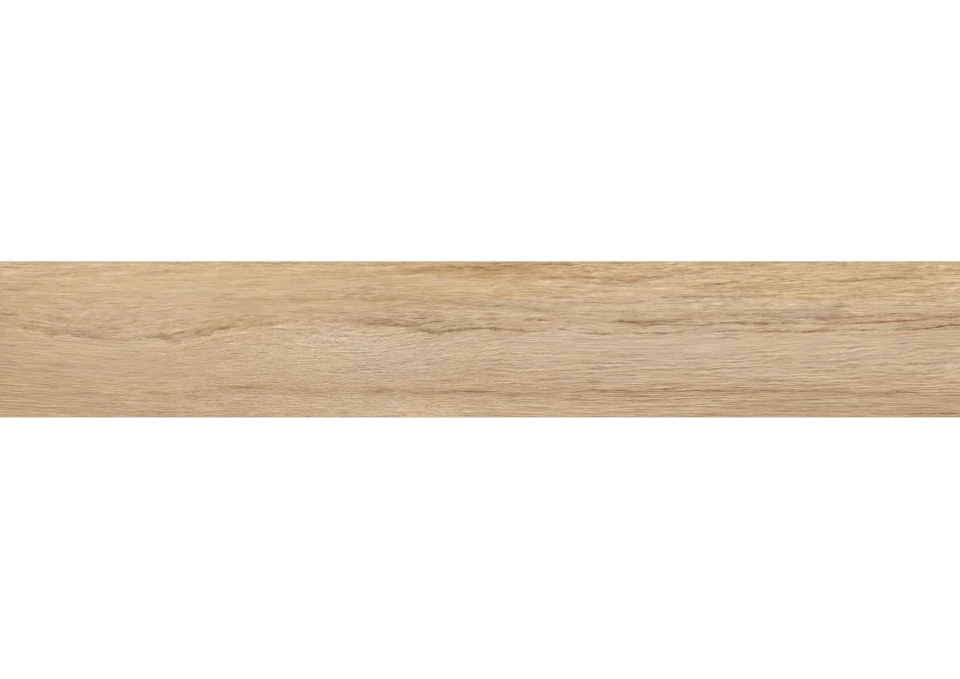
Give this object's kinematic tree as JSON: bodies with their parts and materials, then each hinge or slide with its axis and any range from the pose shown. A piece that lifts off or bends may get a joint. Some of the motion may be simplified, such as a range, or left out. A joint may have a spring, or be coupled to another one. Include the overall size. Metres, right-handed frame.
{
  "type": "wood look porcelain plank tile",
  "caption": "Long flat porcelain floor tile with an oak look face, ground square sides, a narrow bevel round the face and a shallow key grid in its back.",
  "frame": {"origin": "middle of the plank's back, at the height of the lands that it rests on", "axes": "+X along the plank and its grain, +Y across it, +Z out of its face"},
  "size_m": [1.2, 0.195, 0.01],
  "materials": {
    "printed_porcelain": "matte"
  },
  "bodies": {
    "root": {"porcelain_plank": "printed_porcelain"}
  },
  "joints": []
}
